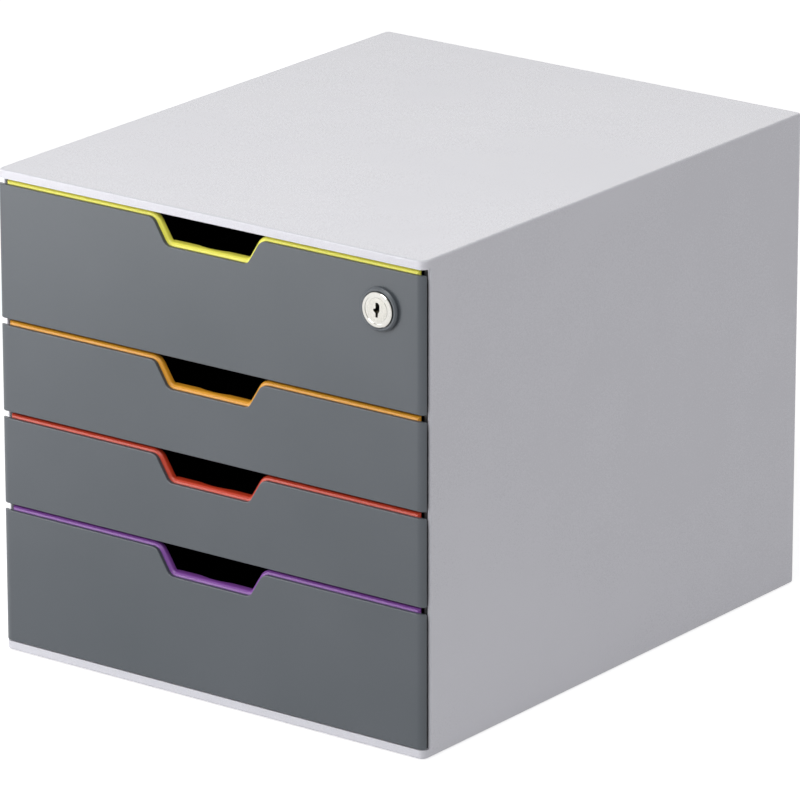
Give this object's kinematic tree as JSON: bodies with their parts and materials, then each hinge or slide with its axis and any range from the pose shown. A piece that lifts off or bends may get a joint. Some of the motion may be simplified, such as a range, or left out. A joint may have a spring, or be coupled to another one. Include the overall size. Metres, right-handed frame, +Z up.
{
  "type": "desktop drawer box",
  "caption": "Desktop box with stacked pull-out drawers, finger notches edged by coloured strips, and a cam lock in the top drawer.",
  "frame": {"origin": "middle of the bounding box on the surface that the feet stand on", "axes": "+Z up, +Y from the drawer fronts to the back, +X to the right as the fronts are seen"},
  "size_m": [0.292, 0.3596, 0.2812],
  "materials": {
    "casing_grey": "fine satin moulding",
    "rack_grey": "plain moulding",
    "tray_dark": "fine matt texture",
    "front_slate": "satin moulding",
    "strip_yellow": "satin moulding",
    "strip_orange": "satin moulding",
    "strip_red": "satin moulding",
    "strip_purple": "satin moulding",
    "foot_rubber": "matt",
    "lock_chrome": "polished",
    "lock_nickel": "satin nickel",
    "lock_steel": "bright zinc"
  },
  "bodies": {
    "casing": {"casing_shell": "casing_grey", "runner_rack_left": "rack_grey", "runner_rack_right": "rack_grey", "lock_strike": "lock_steel", "lock_strike_screws": "lock_steel", "foot_front_left": "foot_rubber", "foot_front_right": "foot_rubber", "foot_rear_left": "foot_rubber", "foot_rear_right": "foot_rubber"},
    "top_drawer": {"top_drawer_tray": "tray_dark", "top_drawer_front": "front_slate", "top_drawer_colour_strip": "strip_yellow", "lock_collar": "front_slate", "lock_housing": "lock_chrome", "lock_nut": "lock_steel"},
    "second_drawer": {"second_drawer_tray": "tray_dark", "second_drawer_front": "front_slate", "second_drawer_colour_strip": "strip_orange"},
    "third_drawer": {"third_drawer_tray": "tray_dark", "third_drawer_front": "front_slate", "third_drawer_colour_strip": "strip_red"},
    "bottom_drawer": {"bottom_drawer_tray": "tray_dark", "bottom_drawer_front": "front_slate", "bottom_drawer_colour_strip": "strip_purple"},
    "lock_core": {"lock_plug": "lock_nickel", "lock_cam": "lock_steel", "lock_cam_screw": "lock_steel"}
  },
  "joints": [
    {"name": "top_drawer_slide", "type": "slide", "parent": "casing", "child": "top_drawer", "axis": [0, -1, 0], "range_m": [0, 0.26]},
    {"name": "second_drawer_slide", "type": "slide", "parent": "casing", "child": "second_drawer", "axis": [0, -1, 0], "range_m": [0, 0.26]},
    {"name": "third_drawer_slide", "type": "slide", "parent": "casing", "child": "third_drawer", "axis": [0, -1, 0], "range_m": [0, 0.26]},
    {"name": "bottom_drawer_slide", "type": "slide", "parent": "casing", "child": "bottom_drawer", "axis": [0, -1, 0], "range_m": [0, 0.26]},
    {"name": "lock_turn", "type": "hinge", "parent": "top_drawer", "child": "lock_core", "pos_m": [0.1174, -0.1762, 0.2502], "axis": [0, 1, 0], "range_deg": [0, 90]}
  ]
}
